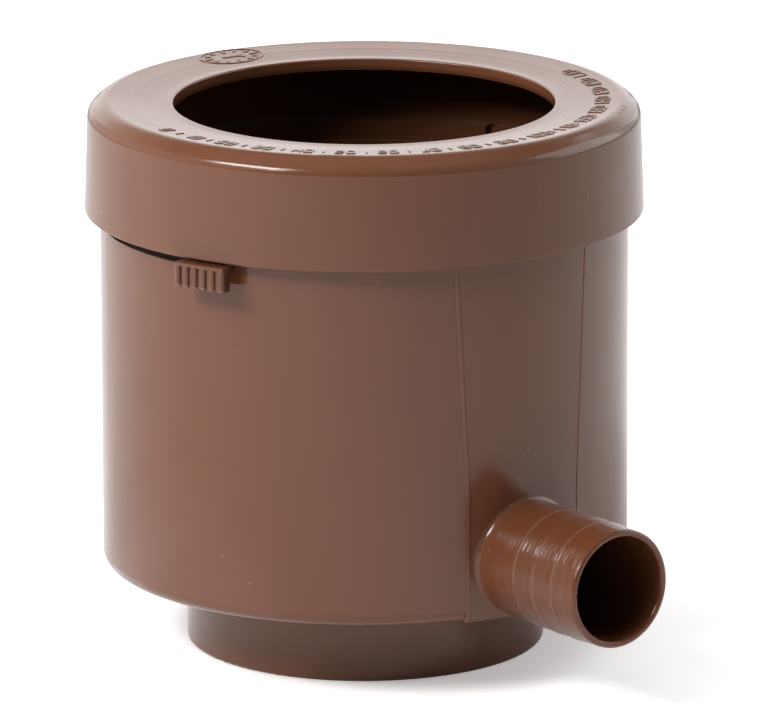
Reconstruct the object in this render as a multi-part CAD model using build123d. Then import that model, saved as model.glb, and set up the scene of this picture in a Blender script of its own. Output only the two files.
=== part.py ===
from build123d import *
import math
import os

# Downpipe rain diverter: a push-on cap, a one-piece housing with an overflow pipe and a hose nozzle,
# and a shutter sleeve that turns inside the housing and is moved by a thumb grip.
# Millimetres and degrees. The Z axis is the axis of the downpipe, Z = 0 is the lower end of the spigot,
# and the hose nozzle points along +X. Angles are measured from +X, anticlockwise seen from above.

# Spigot that slides into the lower pipe, and the overflow pipe above the floor
spigot_radius = 50.0
spigot_wall = 2.7
spigot_length = 22.2
spigot_round = 0.8
spigot_root_round = 0.8
overflow_rise = 82.7
overflow_wall = 2.3
overflow_step = 0.7
overflow_draft = 0.7

# Housing shell
housing_radius = 73.5
housing_wall = 2.5
housing_height = 109.4
floor_thickness = 2.5
edge_round = 3.6
band_height = 3.6
band_stand = 1.1
band_round = 0.5

# Hose nozzle, whose bore dips a little below the trough's floor so that the trough drains
bore_radius = 13.4
bore_dip = 0.4
mouth_bore_radius = 14.55
collar_radius = 16.4
collar_length = 13.5
barb_count = 3
barb_pitch = 8.0
barb_step = 0.4
barb_taper = 5.0
pilot_radius = 16.5
pilot_length = 5.3
mouth_round = 0.9
root_fillet = 1.3

# Side-core panel round the nozzle: its two parting lines lean outwards above the nozzle
panel_low_half_width = 19.3
panel_top_half_width = 23.0
panel_bend_rise = 34.8
seam_width = 0.9
seam_stand = 0.15

# Open notch in the rim for the shutter's arm, and the narrow slit in the rim at the back
slot_depth = 11.4
slot_play = 0.25
slot_corner_round = 1.0
rim_slit_angle = 112.5
rim_slit_width = 2.0
rim_slit_depth = 7.0

# Shutter sleeve, arm and thumb grip
sleeve_gap = 0.3
sleeve_wall = 1.8
sleeve_top_drop = 5.4
window_radius = 16.2
grip_angle = -71.5
shutter_travel = 38.0
arm_half_angle = 4.7
arm_lift = 0.3
arm_thickness = 2.4
grip_half_angle = 5.7
grip_plate_radius = 80.5
grip_plate_thickness = 3.3
grip_drop = 6.9
grip_band = 0.8
rib_count = 6
rib_radius = 0.95

# Cap
cap_fit = 0.1
cap_overlap = 8.3
skirt_wall = 3.14
skirt_draft = 1.0
seat_ledge = 0.9
hole_radius = 53.0
lid_thickness = 3.2
lip_width = 4.2
dish_depth = 1.2
crown_height = 22.9
shoulder_width = 4.3
shoulder_drop = 3.3
shoulder_round = 3.2
crown_round = 4.0
hole_round = 0.5
skirt_edge_round = 0.5

# Levels and radii that follow from the sizes above
floor_level = spigot_length + floor_thickness
rim_level = spigot_length + housing_height
housing_inner = housing_radius - housing_wall
band_radius = housing_radius + band_stand
overflow_outer = spigot_radius - overflow_step
panel_bend_level = spigot_length + panel_bend_rise
nozzle_level = floor_level + bore_radius - bore_dip
pilot_start = housing_radius + collar_length + (barb_count - 1) * barb_pitch + barb_taper
nozzle_reach = pilot_start + pilot_length
slot_level = rim_level - slot_depth
sleeve_outer = housing_inner - sleeve_gap
sleeve_inner = sleeve_outer - sleeve_wall
sleeve_top = rim_level - sleeve_top_drop
arm_low = slot_level + arm_lift
arm_top = arm_low + arm_thickness
grip_low = arm_top - grip_drop
skirt_inner = band_radius + cap_fit
skirt_outer = skirt_inner + skirt_wall
skirt_level = rim_level - cap_overlap
crown_level = rim_level + crown_height
shoulder_radius = skirt_outer - skirt_draft
crown_radius = shoulder_radius - shoulder_width
slot_start = grip_angle - arm_half_angle - shutter_travel - slot_play
slot_end = grip_angle + arm_half_angle + slot_play
cut = 1.0


def section(corners):
    """A closed outline from (across, up, rounding) corners, each rounded by its own radius."""
    points = [(across, up) for across, up, rounding in corners]
    roundings = [rounding for across, up, rounding in corners]
    return make_face(FilletPolyline(*points, radius=roundings, close=True))


def turned(corners):
    """A (radius, level, rounding) section turned once round the Z axis."""
    return revolve(Plane.XZ * section(corners), Axis.Z, 360)


def tube(inner, outer, low, high):
    """A straight tube on the Z axis between two levels."""
    return turned([(inner, low, 0), (outer, low, 0), (outer, high, 0), (inner, high, 0)])


def sector(start, end, reach, low, high):
    """A wedge of material from the Z axis out past a reach, between two angles and two levels."""
    corners = [(0.0, 0.0)]
    for angle in (start, (start + end) / 2, end):
        turn = math.radians(angle)
        corners.append((2 * reach * math.cos(turn), 2 * reach * math.sin(turn)))
    return extrude(Pos(0, 0, low) * make_face(Polyline(*corners, close=True)), high - low)


def housing_shell():
    """Outer wall, floor, overflow pipe and spigot, all turned from one section."""
    spigot_inner = spigot_radius - spigot_wall
    pipe_top = floor_level + overflow_rise
    band_low = rim_level - band_height
    return turned([
        (spigot_inner, 0, 0),
        (spigot_radius, 0, spigot_round),
        (spigot_radius, spigot_length, spigot_root_round),
        (housing_radius, spigot_length, edge_round),
        (housing_radius, band_low - band_stand, 0),
        (band_radius, band_low, 0),
        (band_radius, rim_level, band_round),
        (housing_inner, rim_level, 0),
        (housing_inner, floor_level, 0),
        (overflow_outer, floor_level, 0),
        (overflow_outer - overflow_draft, pipe_top, overflow_wall / 3),
        (overflow_outer - overflow_draft - overflow_wall, pipe_top, overflow_wall / 3),
        (spigot_inner, floor_level, 0),
    ])


def nozzle_blank():
    """Solid nozzle: collar at the wall, shallow barbs that face the housing, plain pilot, rounded mouth."""
    inside = housing_inner - housing_wall
    corners = [(inside, 0, 0), (inside, collar_radius, 0)]
    for barb in range(barb_count):
        start = housing_radius + collar_length + barb * barb_pitch
        corners += [(start, collar_radius, 0), (start + barb_step, collar_radius + barb_step, 0)]
    corners += [(pilot_start, pilot_radius, 0), (nozzle_reach, pilot_radius, mouth_round)]
    corners += [(nozzle_reach, 0, 0)]
    return Pos(0, 0, nozzle_level) * revolve(Plane.XZ * section(corners), Axis.X, 360)


def nozzle_bore():
    """Cutter for the bore, from inside the trough, widening to a rounded edge at the mouth."""
    start = (overflow_outer + sleeve_inner) / 2
    end = nozzle_reach + cut
    corners = [
        (start, 0, 0),
        (start, bore_radius, 0),
        (housing_radius, bore_radius, 0),
        (nozzle_reach, mouth_bore_radius, mouth_round),
        (nozzle_reach, pilot_radius + cut, 0),
        (end, pilot_radius + cut, 0),
        (end, 0, 0),
    ]
    return Pos(0, 0, nozzle_level) * revolve(Plane.XZ * section(corners), Axis.X, 360)


def side_core_panel():
    """Stretch of wall that the side core shapes: the nozzle with its root fillet, and a sharp lower edge."""
    reach = 2 * collar_radius
    core = Pos(0, 0, nozzle_level) * Cylinder(housing_radius, 2 * reach)
    nozzle = nozzle_blank()
    joined = core + nozzle
    root_edge = new_edges(core, nozzle, combined=joined).sort_by(Axis.X)[-1]
    joined = fillet(root_edge, root_fillet)
    joined &= Pos(nozzle_reach, 0, nozzle_level) * Box(2 * housing_radius, 2 * panel_low_half_width, 2 * reach)
    hollow = Pos(0, 0, floor_level) * Cylinder(housing_inner, reach * 2, align=(Align.CENTER, Align.CENTER, Align.MIN))
    trim_radius = housing_radius + 1.5 * root_fillet
    below = Pos(0, 0, spigot_length) * Cylinder(trim_radius, reach, align=(Align.CENTER, Align.CENTER, Align.MAX))
    return joined - hollow - below


def parting_lines():
    """The two thin raised lines that the side core leaves on the wall, leaning outwards above the bend."""
    half = seam_width / 2
    low, bend, top = panel_low_half_width, panel_bend_level, panel_top_half_width
    line = section([
        (low - half, spigot_length, 0),
        (low + half, spigot_length, 0),
        (low + half, bend, 0),
        (top + half, rim_level - band_height - band_stand, 0),
        (top - half, rim_level - band_height - band_stand, 0),
        (low - half, bend, 0),
    ])
    strip = extrude(Plane.YZ * line, 2 * housing_radius)
    strips = strip + mirror(strip, about=Plane.XZ)
    return strips & tube(housing_radius - seam_stand, housing_radius + seam_stand, spigot_length, rim_level)


def arm_notch():
    """Cutter for the open notch that the shutter's arm travels in, with rounded lower corners."""
    high = rim_level + cut
    reach = band_radius + cut
    notch = tube(housing_inner - cut, reach, slot_level, high) & sector(slot_start, slot_end, reach, slot_level, high)
    low_corners = notch.edges().filter_by(GeomType.LINE).group_by(Axis.Z)[0]
    return fillet(low_corners, slot_corner_round)


def rim_slit():
    """Cutter for the narrow slit in the rim."""
    depth = rim_slit_depth + cut
    slit = Pos(housing_radius, 0, rim_level - rim_slit_depth + depth / 2)
    return Rot(0, 0, rim_slit_angle) * slit * Box(4 * housing_wall, rim_slit_width, depth)


def make_housing():
    housing = housing_shell() + side_core_panel() + parting_lines()
    return housing - nozzle_bore() - arm_notch() - rim_slit()


def shutter_sleeve():
    """Plain sleeve with bevelled rims and an arched window over the nozzle's bore, open at the floor."""
    bevel = sleeve_wall / 4
    sleeve = turned([
        (sleeve_inner, floor_level, 0),
        (sleeve_outer - bevel, floor_level, 0),
        (sleeve_outer, floor_level + bevel, 0),
        (sleeve_outer, sleeve_top - bevel, 0),
        (sleeve_outer - bevel, sleeve_top, 0),
        (sleeve_inner + bevel, sleeve_top, 0),
        (sleeve_inner, sleeve_top - bevel, 0),
    ])
    arch = Pos(0, nozzle_level) * Circle(window_radius)
    arch += Pos(0, floor_level - cut) * Rectangle(
        2 * window_radius, nozzle_level - floor_level + cut, align=(Align.CENTER, Align.MIN)
    )
    return sleeve - extrude(Plane.YZ * arch, 2 * sleeve_outer)


def shutter_arm():
    """Flat arm from the sleeve's wall, through the notch and under the cap's skirt, into the grip."""
    start, end = grip_angle - arm_half_angle, grip_angle + arm_half_angle
    root, tip = sleeve_outer - sleeve_wall / 2, grip_plate_radius - grip_plate_thickness / 2
    return tube(root, tip, arm_low, arm_top) & sector(start, end, tip, arm_low, arm_top)


def grip_rib(angle):
    """One upright rounded rib of the grip, with a round lower end."""
    low = grip_low + rib_radius
    high = arm_top - grip_band / 2
    place = Rot(0, 0, angle) * Pos(grip_plate_radius, 0, low)
    upright = Cylinder(rib_radius, high - low, align=(Align.CENTER, Align.CENTER, Align.MIN))
    return place * (upright + Sphere(rib_radius))


def thumb_grip():
    """Curved plate with a plain band along its top and upright ribs below it."""
    start, end = grip_angle - grip_half_angle, grip_angle + grip_half_angle
    crest = grip_plate_radius + rib_radius
    plate = tube(grip_plate_radius - grip_plate_thickness, grip_plate_radius, grip_low, arm_top)
    band = tube(grip_plate_radius - grip_plate_thickness, crest, arm_top - grip_band, arm_top)
    grip = (plate + band) & sector(start, end, crest, grip_low, arm_top)
    edge_angle = math.degrees(rib_radius / grip_plate_radius)
    first = start + edge_angle
    step = 2 * (grip_half_angle - edge_angle) / (rib_count - 1)
    for rib in range(rib_count):
        grip += grip_rib(first + rib * step)
    return grip


def make_shutter():
    return shutter_sleeve() + shutter_arm() + thumb_grip()


def make_cap():
    """Cap turned from one section: dished lid with a flat lip round the hole, bevelled shoulder, drafted skirt."""
    lip_level = crown_level - dish_depth
    under_lip = lip_level - lid_thickness
    under_crown = crown_level - lid_thickness
    upper_inner = skirt_inner - seat_ledge
    return turned([
        (hole_radius, under_lip, 0),
        (hole_radius, lip_level, hole_round),
        (hole_radius + lip_width, lip_level, 0),
        (crown_radius, crown_level, crown_round),
        (shoulder_radius, crown_level - shoulder_drop, shoulder_round),
        (skirt_outer, skirt_level, skirt_edge_round),
        (skirt_inner, skirt_level, 0),
        (skirt_inner, rim_level, 0),
        (upper_inner, rim_level, 0),
        (upper_inner, under_crown - shoulder_drop / 3, lid_thickness / 2),
        (crown_radius, under_crown, 0),
        (hole_radius + lip_width, under_lip, 0),
    ])


def main():
    os.makedirs("parts", exist_ok=True)
    pieces = {"housing": make_housing(), "shutter_sleeve": make_shutter(), "cap": make_cap()}
    for name, piece in pieces.items():
        piece.label = name
        export_step(piece, f"parts/{name}.step")


main()
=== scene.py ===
"""Brown moulded rain diverter for a round downpipe: finishes, cap marks and studio."""
import math

import bmesh
import bpy
from bpy.props import FloatProperty, FloatVectorProperty, PointerProperty
from mathutils import Matrix, Vector
from mathutils.bvhtree import BVHTree


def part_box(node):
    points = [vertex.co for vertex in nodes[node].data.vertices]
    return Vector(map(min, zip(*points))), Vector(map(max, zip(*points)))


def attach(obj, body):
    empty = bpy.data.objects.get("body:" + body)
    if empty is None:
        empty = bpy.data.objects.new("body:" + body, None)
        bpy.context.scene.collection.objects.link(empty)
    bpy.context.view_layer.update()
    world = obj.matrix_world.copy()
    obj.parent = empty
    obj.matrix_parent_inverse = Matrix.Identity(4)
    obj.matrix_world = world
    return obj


bl_info = {
    "name": "Downpipe Rain Diverter",
    "version": (1, 0, 0),
    "blender": (4, 5, 0),
    "location": "3D View > Sidebar > Rain Diverter",
    "description": "Finishes the mouldings of a downpipe rain diverter and sets up its studio",
    "category": "Object",
}

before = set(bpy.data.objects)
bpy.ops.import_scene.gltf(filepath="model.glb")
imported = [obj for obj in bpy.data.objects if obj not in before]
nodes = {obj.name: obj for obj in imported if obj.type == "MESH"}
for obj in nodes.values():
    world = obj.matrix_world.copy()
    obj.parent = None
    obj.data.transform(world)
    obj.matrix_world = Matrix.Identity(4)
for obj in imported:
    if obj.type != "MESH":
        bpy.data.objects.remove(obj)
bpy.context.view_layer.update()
cap_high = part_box("cap")[1]
housing_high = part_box("housing")[1]

# Places on the mouldings that the finishes follow. A pair is where a change starts and where it is full.
NOZZLE_LEVEL = 0.0377
NOZZLE_ROOT = (0.0725, 0.0785)
BARB_EDGES = (0.0874, 0.0954, 0.1034)
BORE_WALL = (0.0145, 0.0150)
BORE_MOUTH = (0.103, 0.1128)
SEAM_SPACING = 0.0193
SEAM_LEAN = 0.0037
SEAM_BEND = (0.057, 0.127)
RIB_ENDS = (0.1162,)
RIB_FACE = (0.0806, 0.0809)

# Painted shade on the inner faces of each moulding, darker where the daylight doesn't reach: from this level,
# to this level, inside this radius
CAP_INSIDE = (0.12, cap_high.z - 0.0028, 0.0742)
HOUSING_INSIDE = (0.0235, housing_high.z + 0.01, 0.0718)
SHUTTER_INSIDE = (0.0, cap_high.z, 0.0795)

# Colours of the painted highlights and of the dust, the same on every moulding
PAINTED_HIGHLIGHT = (0.36, 0.24, 0.18)
DUST = (0.42, 0.34, 0.30)

# Depth of the soft turned rings on the cap, and of the fine ones on the nozzle
CAP_RINGS = 0.00022
NOZZLE_RINGS = 0.00017


# Settings

def colour_setting(name, description, default):
    return FloatVectorProperty(
        name=name, description=description, default=default, subtype="COLOR", size=3, min=0, max=1
    )


def gloss_setting(name, description, default):
    return FloatProperty(name=name, description=description, default=default, min=0, max=1, subtype="FACTOR")


def length_setting(name, description, default):
    return FloatProperty(
        name=name, description=description, default=default, unit="LENGTH", min=0, precision=5
    )


def angle_setting(name, description, default):
    return FloatProperty(name=name, description=description, default=default, subtype="ANGLE")


def power_setting(name, description, default):
    return FloatProperty(name=name, description=description, default=default, min=0, unit="POWER")


class PlasticSettings(bpy.types.PropertyGroup):
    """Colours and gloss of the moulded plastic."""
    cap_colour: colour_setting("Cap", "Colour of the cap's plastic", (0.142, 0.052, 0.025))
    housing_colour: colour_setting("Housing", "Colour of the housing's plastic", (0.142, 0.051, 0.024))
    nozzle_colour: colour_setting(
        "Nozzle", "Colour of the hose nozzle, which the core pin leaves warmer", (0.131, 0.042, 0.0175)
    )
    shutter_colour: colour_setting(
        "Shutter", "Colour of the shutter sleeve and its grip", (0.138, 0.049, 0.023)
    )
    satin: gloss_setting("Satin roughness", "Roughness of the outer walls", 0.155)
    gloss: gloss_setting("Nozzle roughness", "Roughness of the polished nozzle", 0.185)


class CapMarkSettings(bpy.types.PropertyGroup):
    """Raised generic marks on the cap's top."""
    ring_radius: length_setting("Scale radius", "Radius of the middle of the raised scale", 0.0662)
    figure_height: length_setting("Figure height", "Height of the scale's figures", 0.0040)
    relief: length_setting("Relief", "How far the marks stand above the cap", 0.0002)
    ring_start: angle_setting("Scale start", "Angle at which the scale begins", math.radians(-92))
    ring_end: angle_setting("Scale end", "Angle at which the scale ends", math.radians(85))
    dial_angle: angle_setting("Dial angle", "Angle of the month dial round the cap", math.radians(177.5))
    dial_radius: length_setting("Dial place", "Radius at which the month dial stands", 0.0652)
    dial_width: length_setting("Dial width", "Width of the month dial along the ring", 0.0208)
    dial_depth: length_setting("Dial depth", "Size of the month dial across the ring", 0.0128)


class StageSettings(bpy.types.PropertyGroup):
    """Camera and lamps."""
    camera_turn: angle_setting(
        "Camera turn", "Angle of the camera round the downpipe's axis", math.radians(52.4)
    )
    camera_rise: angle_setting("Camera rise", "Elevation of the camera seen from the spigot's end", 0.28186)
    camera_distance: length_setting(
        "Camera distance", "Distance of the camera from the spigot's end", 2.63435
    )
    camera_pitch: angle_setting("Camera pitch", "How far the camera looks down", 0.25295)
    camera_yaw: angle_setting("Camera yaw", "How far the camera looks to the side", 0.00206)
    camera_roll: angle_setting("Camera roll", "Roll of the camera", -0.00199)
    lens: FloatProperty(
        name="Lens", description="Focal length on a 36 mm sensor", default=438.5, unit="CAMERA"
    )
    key_power: power_setting("Key lamp", "Power of the lamp on the front left", 16.2)
    side_power: power_setting("Side lamp", "Power of the large lamp on the back left", 6.3)
    fill_power: power_setting("Fill lamp", "Power of the lamp on the back right", 6.0)
    back_power: power_setting(
        "Back lamp", "Power of the wide lamp behind, which shines on the cap's top", 2.5
    )
    top_power: power_setting("Top lamp", "Power of the large soft lamp above", 2.0)
    floor_left_power: power_setting("Left floor lamp", "Power of the lamp over the floor on the left", 4.2)
    floor_right_power: power_setting(
        "Right floor lamp", "Power of the lamp over the floor on the back right", 2.4
    )
    surround: FloatProperty(
        name="Surround", description="Light of the surrounding studio on the object", default=0.06, min=0
    )
    ceiling: gloss_setting(
        "Ceiling", "Brightness of the ceiling and the camera's side in reflections", 0.15
    )


# Materials

class Nodes:
    """A small helper that adds and links the shader nodes of one material or world."""

    def __init__(self, name):
        self.material = bpy.data.materials.new(name)
        self.material.use_nodes = True
        self.tree = self.material.node_tree
        self.tree.nodes.clear()

    @classmethod
    def of_tree(cls, tree):
        """The same helper on the world's tree."""
        helper = cls.__new__(cls)
        helper.tree = tree
        tree.nodes.clear()
        return helper

    def feed(self, socket, value):
        """Link a socket to a node's output, or write a plain value on it."""
        if isinstance(value, bpy.types.NodeSocket):
            self.tree.links.new(value, socket)
        else:
            socket.default_value = value

    def add(self, kind, **inputs):
        node = self.tree.nodes.new(kind)
        for key, value in inputs.items():
            self.feed(node.inputs[key.replace("_", " ")], value)
        return node

    def noise(self, place, scale, detail=2.0, roughness=0.5):
        return self.add(
            "ShaderNodeTexNoise", Vector=place, Scale=scale, Detail=detail, Roughness=roughness
        ).outputs["Fac"]

    def stretched(self, place, x, y, z):
        return self.add("ShaderNodeMapping", Vector=place, Scale=(x, y, z)).outputs["Vector"]

    def span(self, value, low, high, to_low, to_high):
        """A value between two levels, spread over two other levels and held beyond them."""
        return self.add(
            "ShaderNodeMapRange",
            Value=value, From_Min=low, From_Max=high, To_Min=to_low, To_Max=to_high,
        ).outputs["Result"]

    def math(self, a, b, kind="ADD"):
        node = self.tree.nodes.new("ShaderNodeMath")
        node.operation = kind
        self.feed(node.inputs[0], a)
        self.feed(node.inputs[1], b)
        return node.outputs["Value"]

    def times(self, first, *others):
        for value in others:
            first = self.math(first, value, "MULTIPLY")
        return first

    def minus(self, a, b):
        return self.math(a, b, "SUBTRACT")

    def lines(self, value, places, width, soft):
        """1 on a thin line at each place along a value, 0 between the lines."""
        low, high = places[0] - 4 * width, places[-1] + 4 * width
        ramp = self.add("ShaderNodeValToRGB", Fac=self.span(value, low, high, 0, 1))
        stops = ramp.color_ramp.elements
        stops[0].position, stops[0].color = 0.0, (0, 0, 0, 1)
        stops[1].position, stops[1].color = 1.0, (0, 0, 0, 1)
        for place in places:
            for offset, level in ((-soft, 0), (0, 1), (width, 1), (width + soft, 0)):
                stop = stops.new((place + offset - low) / (high - low))
                stop.color = (level, level, level, 1)
        return ramp.outputs["Color"]

    def blend(self, fac, a, b):
        """A colour between two others."""
        node = self.tree.nodes.new("ShaderNodeMix")
        node.data_type = "RGBA"
        for socket, value in ((node.inputs[0], fac), (node.inputs[6], a), (node.inputs[7], b)):
            self.feed(socket, value)
        return node.outputs[2]

    def shade(self, fac, a, b):
        """A shader between two others."""
        node = self.tree.nodes.new("ShaderNodeMixShader")
        for socket, value in zip(node.inputs, (fac, a, b)):
            self.feed(socket, value)
        return node.outputs[0]


def rgba(colour, gain=1.0):
    return (*(min(1.0, c * gain) for c in colour), 1.0)


def from_axis(n, a, b):
    """Distance from an axis, from the two coordinates across it."""
    return n.math(n.math(n.times(a, a), n.times(b, b)), 0.5, "POWER")


def nozzle_finish(n, place, axes, clouds, tone, rough, colour, satin, gloss):
    """Warmer, glossier nozzle with painted highlights on the barb edges and painted shade deep in the bore;
    returns tone, roughness and rings.
    """
    polish = n.span(axes["X"], *NOZZLE_ROOT, 0, 1)
    across = from_axis(n, axes["Y"], n.minus(axes["Z"], NOZZLE_LEVEL))
    outside = n.span(across, *BORE_WALL, 0, 1)
    warm = n.blend(n.span(clouds, 0.3, 0.7, 0, 1), rgba(colour, 0.94), rgba(colour, 1.08))
    tone = n.blend(polish, tone, warm)

    # Painted highlight: thin light lines along the barb edges, broken up by noise
    highlight_strength = n.span(n.noise(place, 160.0, 2.0), 0.35, 0.6, 0.04, 0.22)
    edges = n.lines(axes["X"], BARB_EDGES, width=0.0005, soft=0.0003)
    tone = n.blend(n.times(edges, highlight_strength, outside), tone, rgba(PAINTED_HIGHLIGHT))

    # Painted shade deep inside the bore, fading out towards the mouth
    deep = n.span(axes["X"], *BORE_MOUTH, 1, 0.25)
    bore = n.times(polish, deep, n.minus(1.0, outside), 0.75)
    tone = n.blend(bore, tone, rgba(colour, 0.35))

    rough = n.minus(rough, n.times(polish, satin - gloss))
    rings = n.noise(n.stretched(place, 3000, 45, 45), 1.0, 0.5, 0.5)
    return tone, rough, n.times(rings, polish, outside)


def seam_finish(n, axes, tone, colour):
    """Painted highlight along the ridge of the two parting lines, painted shadow beside them, and painted
    light on the right one's shaded side.
    """
    lean = n.span(axes["Z"], *SEAM_BEND, 0, SEAM_LEAN)
    beside = n.minus(n.math(axes["Y"], 0.0, "ABSOLUTE"), n.math(lean, SEAM_SPACING))
    wall = n.times(n.span(axes["X"], 0.055, 0.06, 0, 1), n.span(axes["X"], 0.0735, 0.0745, 1, 0))
    left = n.span(axes["Y"], -0.001, 0.001, 1, 0.25)
    right = n.span(axes["Y"], 0.0, 0.001, 0, 1)
    # Painted highlight on the ridge, painted shadow beside it, and painted light on the right seam's shaded
    # side
    crest_highlight = n.times(n.lines(beside, (-0.0002,), width=0.0005, soft=0.0002), wall, left, 0.5)
    seam_shadow = n.times(n.lines(beside, (-0.0010,), width=0.0004, soft=0.0002), wall, left, 0.35)
    flank = n.times(n.lines(beside, (-0.00052,), width=0.0001, soft=0.00004), wall, right)
    tone = n.blend(crest_highlight, tone, rgba(colour, 1.6))
    tone = n.blend(seam_shadow, tone, rgba(colour, 0.4))
    return n.blend(flank, tone, rgba(colour, 3.2))


def inner_shade(n, radius, level, tone, colour, inside):
    """Painted shade on inner faces that the daylight doesn't reach: darker between two levels, inside a
    radius.
    """
    low, high, reach = inside
    hidden = n.times(
        n.span(radius, reach, reach + 0.0006, 1, 0),
        n.span(level, low, low + 0.001, 0, 1),
        n.span(level, high - 0.001, high, 1, 0),
        0.65,
    )
    return n.blend(hidden, tone, rgba(colour, 0.35))


def turned_rings(n, radius, depth, normal):
    """Soft rings round the downpipe's axis, as the turned mould leaves them."""
    noise = n.tree.nodes.new("ShaderNodeTexNoise")
    noise.noise_dimensions = "1D"
    for key, value in (("W", radius), ("Scale", 150.0), ("Detail", 2.0)):
        n.feed(noise.inputs[key], value)
    bump = n.add("ShaderNodeBump", Strength=1.0, Distance=depth, Height=noise.outputs["Fac"], Normal=normal)
    return bump.outputs["Normal"]


def moulded_plastic(
    name, colour, roughness, inside=None, nozzle=None, nozzle_roughness=0.2, rings=0.0, tips=None
):
    """Brown moulded plastic: faint flow clouds, upright rub marks, fine grain and dust specks.

    inside is the (low, high, radius) of the inner faces with painted shade, nozzle the colour of the hose
    nozzle, rings the depth of the soft turned rings, and tips the levels of the painted highlights at the
    grip's rib ends.
    """
    n = Nodes(name)
    place = n.add("ShaderNodeTexCoord").outputs["Object"]
    axes = n.add("ShaderNodeSeparateXYZ", Vector=place).outputs
    radius = from_axis(n, axes["X"], axes["Y"])

    clouds = n.noise(place, 14.0, 3.0, 0.55)
    flow = n.noise(n.stretched(place, 60, 60, 7), 1.0, 4.0, 0.6)
    tone = n.blend(n.span(clouds, 0.3, 0.7, 0, 1), rgba(colour, 0.93), rgba(colour, 1.07))
    tone = n.blend(n.span(flow, 0.35, 0.7, 0, 0.5), tone, rgba(colour, 1.13))
    rubs = n.noise(n.stretched(place, 30, 30, 90), 1.0, 3.0, 0.65)
    rough = n.span(clouds, 0.3, 0.7, roughness - 0.03, roughness + 0.03)
    rough = n.math(rough, n.span(rubs, 0.45, 0.8, 0, 0.03))

    if inside:
        tone = inner_shade(n, radius, axes["Z"], tone, colour, inside)
    if tips:
        # Painted highlight on the lower ends of the grip's ribs
        ends = n.lines(axes["Z"], tips, width=0.0005, soft=0.0002)
        tone = n.blend(n.times(ends, n.span(radius, *RIB_FACE, 0, 1), 0.3), tone, rgba(PAINTED_HIGHLIGHT))
    grooves = None
    if nozzle:
        tone, rough, grooves = nozzle_finish(
            n, place, axes, clouds, tone, rough, nozzle, roughness, nozzle_roughness
        )
        tone = seam_finish(n, axes, tone, colour)
    specks = n.add("ShaderNodeTexVoronoi", Vector=place, Scale=95.0, Randomness=1.0).outputs["Distance"]
    tone = n.blend(n.times(n.span(specks, 0.018, 0.030, 1, 0), 0.55), tone, rgba(DUST))

    grain = n.noise(place, 1900.0, 2.0, 0.6)
    sink = n.noise(place, 26.0, 1.0, 0.5)
    normal = n.add("ShaderNodeBump", Strength=0.16, Distance=0.00012, Height=grain).outputs["Normal"]
    normal = n.add(
        "ShaderNodeBump", Strength=0.5, Distance=0.0006, Height=sink, Normal=normal
    ).outputs["Normal"]
    if grooves:
        normal = n.add(
            "ShaderNodeBump", Strength=1.0, Distance=NOZZLE_RINGS, Height=grooves, Normal=normal
        ).outputs["Normal"]
    if rings:
        normal = turned_rings(n, radius, rings, normal)
    shader = n.add("ShaderNodeBsdfPrincipled", Base_Color=tone, Roughness=rough, IOR=1.47, Normal=normal)
    n.add("ShaderNodeOutputMaterial", Surface=shader.outputs["BSDF"])
    return n.material


def finish_node(node, material):
    obj = nodes[node]
    if not obj.material_slots:
        obj.data.materials.append(material)
    for slot in obj.material_slots:
        slot.material = material


# Raised marks on the cap

def cap_surface():
    """A function that gives the level of the cap's top under a point."""
    tree = BVHTree.FromObject(nodes["cap"], bpy.context.evaluated_depsgraph_get())

    def level(x, y):
        hit = tree.ray_cast(Vector((x, y, 1.0)), Vector((0, 0, -1)))[0]
        return hit.z if hit else cap_high.z

    return level


def ring_place(radius, angle):
    return Vector((radius * math.cos(angle), radius * math.sin(angle)))


def raise_outline(shape, outline, level, relief):
    """One raised mark from a flat outline of (x, y) points: a bevelled top on short drafted sides."""
    centre = sum((Vector(p) for p in outline), Vector((0, 0))) / len(outline)
    rings = []
    for inset, lift in ((1.0, -0.4), (0.97, 0.75), (0.86, 1.0)):
        ring = []
        for p in outline:
            q = centre + (Vector(p) - centre) * inset
            ring.append(shape.verts.new((q.x, q.y, level(q.x, q.y) + relief * lift)))
        rings.append(ring)
    for lower, upper in zip(rings, rings[1:]):
        for i in range(len(outline)):
            j = (i + 1) % len(outline)
            shape.faces.new((lower[i], lower[j], upper[j], upper[i]))
    shape.faces.new(rings[-1])
    shape.faces.new(list(reversed(rings[0])))


def stroke(shape, centre_radius, centre_angle, across, along, level, relief, turn=0.0, corner=0.35):
    """A raised stroke with rounded corners on the ring: across it, along it, and turned on its place."""
    outline = []
    half_w, half_h = along / 2, across / 2
    r = min(half_w, half_h) * corner
    for sx, sy, start in ((1, 1, 0), (-1, 1, 90), (-1, -1, 180), (1, -1, 270)):
        for step in (0, 45, 90):
            a = math.radians(start + step)
            outline.append((sx * (half_w - r) + r * math.cos(a), sy * (half_h - r) + r * math.sin(a)))
    base = ring_place(centre_radius, centre_angle)
    out, side = ring_place(1, centre_angle), ring_place(1, centre_angle + math.pi / 2)
    cos, sin = math.cos(turn), math.sin(turn)
    placed = []
    for x, y in outline:
        u, v = x * cos - y * sin, x * sin + y * cos
        placed.append(base + out * v + side * u)
    raise_outline(shape, placed, level, relief)


# Which of the seven strokes make each figure, and where each stroke lies: x, y and whether it lies flat
FIGURES = {
    "0": "abcdef", "1": "bc", "2": "abged", "3": "abgcd", "4": "fgbc", "5": "afgcd",
    "6": "afgedc", "7": "abc", "8": "abcdefg", "9": "abcdfg",
}
STROKES = {
    "a": (0, 0.5, True), "d": (0, -0.5, True), "g": (0, 0, True),
    "b": (0.5, 0.25, False), "c": (0.5, -0.25, False), "f": (-0.5, 0.25, False), "e": (-0.5, -0.25, False),
}


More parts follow.
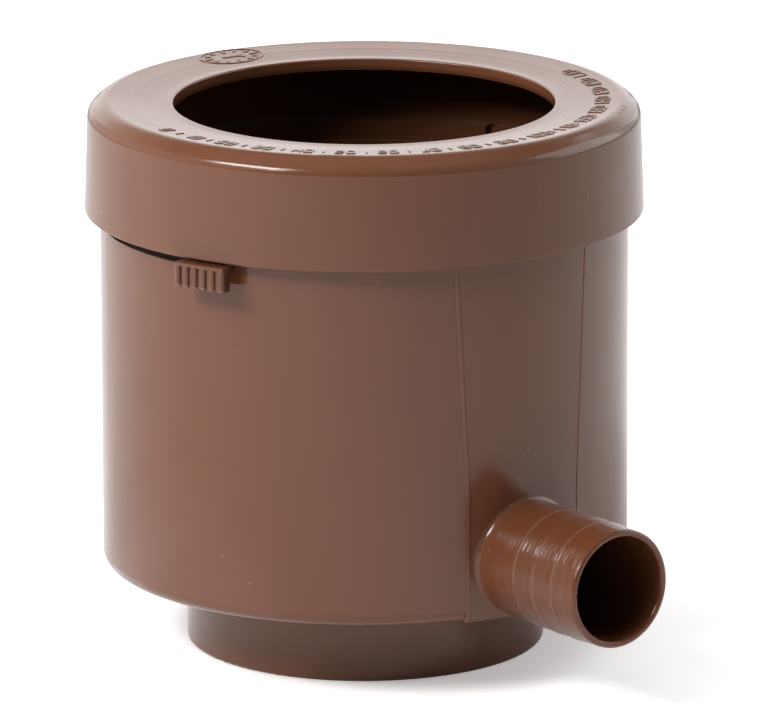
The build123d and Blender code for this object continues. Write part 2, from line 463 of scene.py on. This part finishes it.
def figure(shape, digit, radius, angle, height, level, relief):
    """One plain figure of short raised strokes, read from outside the cap."""
    width, line = height * 0.5, height * 0.14
    for name in FIGURES[digit]:
        x, y, flat = STROKES[name]
        x, y = x * width, y * height
        turn = angle + x / radius
        if flat:
            stroke(shape, radius + y, turn, line, width * 1.05, level, relief)
        else:
            stroke(shape, radius + y, turn, height * 0.53, line, level, relief)


def number(shape, text, radius, angle, height, level, relief):
    """A row of figures, centred on an angle."""
    pitch = height * 0.78 / radius
    for i, digit in enumerate(text):
        figure(shape, digit, radius, angle + (i - (len(text) - 1) / 2) * pitch, height, level, relief)


def dial_spot(s, size, turn):
    """A place on the oval dial, by its share of the dial's size and its turn round the middle."""
    out, side = ring_place(1, s.dial_angle), ring_place(1, s.dial_angle + math.pi / 2)
    across, along = s.dial_depth / 2 * size * math.sin(turn), s.dial_width / 2 * size * math.cos(turn)
    return ring_place(s.dial_radius, s.dial_angle) + side * along + out * across


def dial_bead(shape, s, level, sections=96):
    """The raised oval bead round the month dial."""
    profile = [(1.0, -0.4), (0.99, 0.8), (0.965, 1.1), (0.935, 1.1), (0.91, 0.8), (0.90, -0.4)]
    rows = []
    for i in range(sections):
        row = []
        for size, lift in profile:
            q = dial_spot(s, size, 2 * math.pi * i / sections)
            row.append(shape.verts.new((q.x, q.y, level(q.x, q.y) + s.relief * lift)))
        rows.append(row)
    for i in range(sections):
        here, there = rows[i], rows[(i + 1) % sections]
        for k in range(len(profile)):
            m = (k + 1) % len(profile)
            shape.faces.new((here[k], there[k], there[m], here[m]))


def dial_months(shape, s, level):
    """Twelve ticks inside the bead, longer at every third month."""
    for month in range(12):
        turn = 2 * math.pi * month / 12
        q = dial_spot(s, 0.72, turn)
        aim = math.atan2(s.dial_depth / 2 * math.sin(turn), s.dial_width / 2 * math.cos(turn))
        length = 0.0026 if month % 3 == 0 else 0.0018
        stroke(shape, q.length, math.atan2(q.y, q.x), 0.0009, length, level, s.relief, aim)


def dial_arrow(shape, s, level):
    """The arrow in the middle of the dial: a shaft and a head of two slanted strokes."""
    stroke(shape, s.dial_radius, s.dial_angle, 0.0011, 0.0062, level, s.relief)
    for side in (1, -1):
        place = s.dial_radius + side * 0.0007
        stroke(shape, place, s.dial_angle - 0.045, 0.0011, 0.0024, level, s.relief, math.radians(-38 * side))


def finish_mark(name, shape, material):
    """Make a piece of the raised marks, which rides on the housing and its cap."""
    mesh = bpy.data.meshes.new(name)
    bmesh.ops.recalc_face_normals(shape, faces=shape.faces)
    shape.to_mesh(mesh)
    shape.free()
    obj = bpy.data.objects.new(name, mesh)
    bpy.context.scene.collection.objects.link(obj)
    mesh.materials.append(material)
    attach(obj, "housing_and_cap")


# Operators for the pieces

class DIVERTER_OT_cap(bpy.types.Operator):
    """Gives the push-on cap its satin brown plastic"""
    bl_idname = "diverter.cap"
    bl_label = "Finish the Cap"

    def execute(self, context):
        s = context.scene.diverter_plastic
        finish_node("cap", moulded_plastic("cap_brown", s.cap_colour, s.satin, CAP_INSIDE, rings=CAP_RINGS))
        return {"FINISHED"}


class DIVERTER_OT_housing(bpy.types.Operator):
    """Gives the housing its satin brown plastic and the hose nozzle its polish"""
    bl_idname = "diverter.housing"
    bl_label = "Finish the Housing"

    def execute(self, context):
        s = context.scene.diverter_plastic
        material = moulded_plastic(
            "housing_brown", s.housing_colour, s.satin, HOUSING_INSIDE, s.nozzle_colour, s.gloss
        )
        finish_node("housing", material)
        return {"FINISHED"}


class DIVERTER_OT_shutter(bpy.types.Operator):
    """Gives the shutter sleeve and its thumb grip their brown plastic"""
    bl_idname = "diverter.shutter"
    bl_label = "Finish the Shutter"

    def execute(self, context):
        s = context.scene.diverter_plastic
        material = moulded_plastic("shutter_brown", s.shutter_colour, s.satin, SHUTTER_INSIDE, tips=RIB_ENDS)
        finish_node("shutter_sleeve", material)
        return {"FINISHED"}


class DIVERTER_OT_scale(bpy.types.Operator):
    """Raises the plain angle scale with its figures on the cap"""
    bl_idname = "diverter.scale"
    bl_label = "Raise the Angle Scale"

    def execute(self, context):
        s, level = context.scene.diverter_marks, cap_surface()
        shape = bmesh.new()
        height = s.figure_height
        for mark in range(0, round(math.degrees(s.ring_end - s.ring_start)) + 1, 5):
            angle = s.ring_start + math.radians(mark)
            if mark % 10 == 0:
                number(shape, str(mark), s.ring_radius, angle, height, level, s.relief)
            else:
                stroke(shape, s.ring_radius, angle, height * 0.7, height * 0.13, level, s.relief)
        plastic = context.scene.diverter_plastic
        colour = [c * 0.9 for c in plastic.cap_colour]
        finish_mark("cap_scale", shape, moulded_plastic("scale_brown", colour, plastic.satin + 0.06))
        return {"FINISHED"}


class DIVERTER_OT_dial(bpy.types.Operator):
    """Raises the plain oval month dial on the cap"""
    bl_idname = "diverter.dial"
    bl_label = "Raise the Month Dial"

    def execute(self, context):
        s, level = context.scene.diverter_marks, cap_surface()
        shape = bmesh.new()
        dial_bead(shape, s, level)
        dial_months(shape, s, level)
        dial_arrow(shape, s, level)
        plastic = context.scene.diverter_plastic
        colour = [c * 0.95 for c in plastic.cap_colour]
        finish_mark("cap_month_dial", shape, moulded_plastic("dial_brown", colour, plastic.satin + 0.04))
        return {"FINISHED"}


# Studio

FLOOR_LEVEL = -0.0002
FLOOR_REACH = 4.0
FLOOR_SIDES = 24
LAMP_AIM = Vector((0, 0, 0.08))


def turned_spot(s, turn, reach):
    """A place on the floor, by its angle from the camera and its distance from the object's axis."""
    a = s.camera_turn + math.radians(turn)
    return Vector((math.sin(a) * reach, -math.cos(a) * reach, 0))


def lamp(s, name, turn, rise, distance, width, height, power, aim, glossy):
    """A large soft lamp, placed by its angle from the camera and its rise, in degrees."""
    data = bpy.data.lights.new(name, "AREA")
    data.shape, data.size, data.size_y, data.energy = "RECTANGLE", width, height, power
    obj = bpy.data.objects.new(name, data)
    a, e = s.camera_turn + math.radians(turn), math.radians(rise)
    away = Vector((math.sin(a) * math.cos(e), -math.cos(a) * math.cos(e), math.sin(e)))
    obj.location = aim + away * distance
    obj.rotation_mode = "QUATERNION"
    obj.rotation_quaternion = away.to_track_quat("Z", "Y")
    obj.visible_camera = False
    obj.visible_glossy = glossy
    bpy.context.scene.collection.objects.link(obj)


def build_lamps(s):
    """The lamps: name, turn, rise, distance, width, height, power, aim, and whether the gloss shows it."""
    left_floor, right_floor = turned_spot(s, -95, 0.33), turned_spot(s, 125, 0.33)
    for settings in (
        ("key_left", -53, 39, 1.4, 0.7, 0.32, s.key_power, LAMP_AIM, True),
        ("side_left", -98, 16, 1.4, 1.5, 1.0, s.side_power, LAMP_AIM, False),
        ("fill_right", 108, 24, 1.4, 1.2, 1.0, s.fill_power, LAMP_AIM, True),
        ("back_wide", 180, 15, 1.6, 1.8, 0.85, s.back_power, LAMP_AIM, True),
        ("floor_left", -95, 76, 0.9, 0.8, 0.6, s.floor_left_power, left_floor, False),
        ("floor_right", 125, 76, 0.9, 0.8, 0.6, s.floor_right_power, right_floor, False),
        ("top_soft", -20, 72, 1.3, 1.8, 1.8, s.top_power, LAMP_AIM, True),
    ):
        lamp(s, *settings)


def floor_material(s):
    """White studio paper that keeps the shadow and is lifted to white where nothing covers it, with a painted
    shadow near the object and a painted reflection glow.
    """
    n = Nodes("studio_paper")
    place = n.add("ShaderNodeTexCoord").outputs["Object"]
    axes = n.add("ShaderNodeSeparateXYZ", Vector=place).outputs
    cloud = n.span(n.noise(place, 3.0), 0.3, 0.7, 0, 1)
    tone = n.blend(cloud, rgba((0.90, 0.90, 0.90)), rgba((0.93, 0.93, 0.93)))
    tooth = n.noise(place, 700.0, 2.0)
    bump = n.add("ShaderNodeBump", Strength=0.05, Distance=0.0002, Height=tooth)
    paper = n.add("ShaderNodeBsdfDiffuse", Color=tone, Roughness=0.4, Normal=bump.outputs["Normal"])

    ray = n.add("ShaderNodeLightPath").outputs
    # Painted shadow: near the object the camera's lift fades by ambient occlusion
    near = n.add("ShaderNodeAmbientOcclusion", Distance=0.11)
    near.samples = 8
    lift_with_painted_shadow = n.span(near.outputs["AO"], 0.25, 0.9, 0.35, 0.73)
    far_off = n.span(from_axis(n, axes["X"], axes["Y"]), 0.28, 0.6, 0.0, 0.6)
    seen = n.times(ray["Is Camera Ray"], n.math(lift_with_painted_shadow, far_off))

    # Painted reflection: in reflections the paper glows dim, but bright close to the object on the left
    bright = turned_spot(s, -68, 0.15)
    beside = from_axis(n, n.minus(axes["X"], bright.x), n.minus(axes["Y"], bright.y))
    mirrored = n.math(ray["Is Glossy Ray"], ray["Is Transmission Ray"], "MAXIMUM")
    mirrored = n.times(mirrored, n.span(beside, 0.07, 0.13, 0.6, 0.14))

    glow = n.add("ShaderNodeEmission", Color=(1, 1, 1, 1), Strength=n.math(seen, mirrored))
    both = n.tree.nodes.new("ShaderNodeAddShader")
    n.feed(both.inputs[0], paper.outputs["BSDF"])
    n.feed(both.inputs[1], glow.outputs["Emission"])
    n.add("ShaderNodeOutputMaterial", Surface=both.outputs["Shader"])
    return n.material


def build_floor(s):
    """A wide round sheet of paper just under the object."""
    shape = bmesh.new()
    corners = []
    for i in range(FLOOR_SIDES):
        a = 2 * math.pi * i / FLOOR_SIDES
        corners.append(shape.verts.new((FLOOR_REACH * math.cos(a), FLOOR_REACH * math.sin(a), FLOOR_LEVEL)))
    shape.faces.new(corners)
    mesh = bpy.data.meshes.new("studio_floor")
    shape.to_mesh(mesh)
    shape.free()
    mesh.materials.append(floor_material(s))
    floor = bpy.data.objects.new("studio_floor", mesh)
    bpy.context.scene.collection.objects.link(floor)


def studio_surround(s):
    """The surround: white to the camera, a soft even light on the object, and its own look in reflections.

    Reflections see it white low behind the object, and dim above and on the camera's side.
    """
    world = bpy.data.worlds.new("studio_surround")
    bpy.context.scene.world = world
    world.use_nodes = True
    n = Nodes.of_tree(world.node_tree)
    ray = n.add("ShaderNodeLightPath").outputs
    aim = n.add("ShaderNodeTexCoord").outputs["Generated"]
    behind = n.tree.nodes.new("ShaderNodeVectorMath")
    behind.operation = "DOT_PRODUCT"
    n.feed(behind.inputs[0], aim)
    n.feed(behind.inputs[1], (-math.sin(s.camera_turn), math.cos(s.camera_turn), 0))
    rise = n.add("ShaderNodeSeparateXYZ", Vector=aim).outputs["Z"]
    wall = n.span(behind.outputs["Value"], -0.75, 0.1, s.ceiling, 1.0)
    above = n.span(rise, 0.42, 0.75, 1.0, s.ceiling)
    seen = n.math(ray["Is Glossy Ray"], ray["Is Transmission Ray"], "MAXIMUM")
    mirrored = n.add("ShaderNodeBackground", Color=(1, 1, 1, 1), Strength=n.math(wall, above, "MINIMUM"))
    soft = n.add("ShaderNodeBackground", Color=(1, 1, 1, 1), Strength=s.surround)
    white = n.add("ShaderNodeBackground", Color=(1, 1, 1, 1), Strength=1.0)
    lit = n.shade(seen, soft.outputs[0], mirrored.outputs[0])
    n.add("ShaderNodeOutputWorld", Surface=n.shade(ray["Is Camera Ray"], lit, white.outputs[0]))


def place_camera(s):
    """The photograph's camera: round the downpipe's axis by the camera's turn."""
    d, e = s.camera_distance, s.camera_rise
    spot = Vector((0, -d * math.cos(e), d * math.sin(e)))
    cos_y, sin_y = math.cos(s.camera_yaw), math.sin(s.camera_yaw)
    cos_p, sin_p = math.cos(s.camera_pitch), math.sin(s.camera_pitch)
    ahead = Vector((sin_y, cos_y * cos_p, -cos_y * sin_p)).normalized()
    right = ahead.cross(Vector((0, 0, 1))).normalized()
    up = right.cross(ahead)
    c, r = math.cos(s.camera_roll), math.sin(s.camera_roll)
    right, up = right * c + up * r, up * c - right * r
    turn = Matrix.Rotation(s.camera_turn, 3, "Z")
    basis = Matrix((right, up, -ahead)).transposed()
    data = bpy.data.cameras.new("studio_camera")
    data.sensor_width, data.lens = 36.0, s.lens
    data.clip_start, data.clip_end = 0.1, 50.0
    camera = bpy.data.objects.new("studio_camera", data)
    camera.matrix_world = Matrix.Translation(turn @ spot) @ (turn @ basis).to_4x4()
    bpy.context.scene.collection.objects.link(camera)
    bpy.context.scene.camera = camera


class DIVERTER_OT_stage(bpy.types.Operator):
    """Builds the white floor, the lamps, the surround and the camera"""
    bl_idname = "diverter.stage"
    bl_label = "Build the Studio"

    def execute(self, context):
        s = context.scene.diverter_stage
        context.scene.view_settings.view_transform = "Standard"
        build_floor(s)
        build_lamps(s)
        studio_surround(s)
        place_camera(s)
        return {"FINISHED"}


# Panel and registration

class DIVERTER_PT_panel(bpy.types.Panel):
    """Sidebar panel that lists the rain diverter's pieces and settings"""
    bl_idname = "DIVERTER_PT_panel"
    bl_label = "Rain Diverter"
    bl_space_type = "VIEW_3D"
    bl_region_type = "UI"
    bl_category = "Rain Diverter"

    def draw(self, context):
        layout, scene = self.layout, context.scene
        for label, operators, settings in (
            ("Mouldings", ("diverter.cap", "diverter.housing", "diverter.shutter"), scene.diverter_plastic),
            ("Cap marks", ("diverter.scale", "diverter.dial"), scene.diverter_marks),
            ("Studio", ("diverter.stage",), scene.diverter_stage),
        ):
            box = layout.box()
            box.label(text=label)
            for name in settings.__annotations__:
                box.prop(settings, name)
            for operator in operators:
                box.operator(operator)


CLASSES = (
    PlasticSettings, CapMarkSettings, StageSettings,
    DIVERTER_OT_cap, DIVERTER_OT_housing, DIVERTER_OT_shutter, DIVERTER_OT_scale, DIVERTER_OT_dial,
    DIVERTER_OT_stage, DIVERTER_PT_panel,
)


def register():
    for cls in CLASSES:
        bpy.utils.register_class(cls)
    bpy.types.Scene.diverter_plastic = PointerProperty(type=PlasticSettings)
    bpy.types.Scene.diverter_marks = PointerProperty(type=CapMarkSettings)
    bpy.types.Scene.diverter_stage = PointerProperty(type=StageSettings)


def unregister():
    del bpy.types.Scene.diverter_stage
    del bpy.types.Scene.diverter_marks
    del bpy.types.Scene.diverter_plastic
    for cls in reversed(CLASSES):
        bpy.utils.unregister_class(cls)


def main():
    register()
    bpy.ops.diverter.cap()
    bpy.ops.diverter.housing()
    bpy.ops.diverter.shutter()
    bpy.ops.diverter.scale()
    bpy.ops.diverter.dial()
    bpy.ops.diverter.stage()


if __name__ == "__main__":
    main()
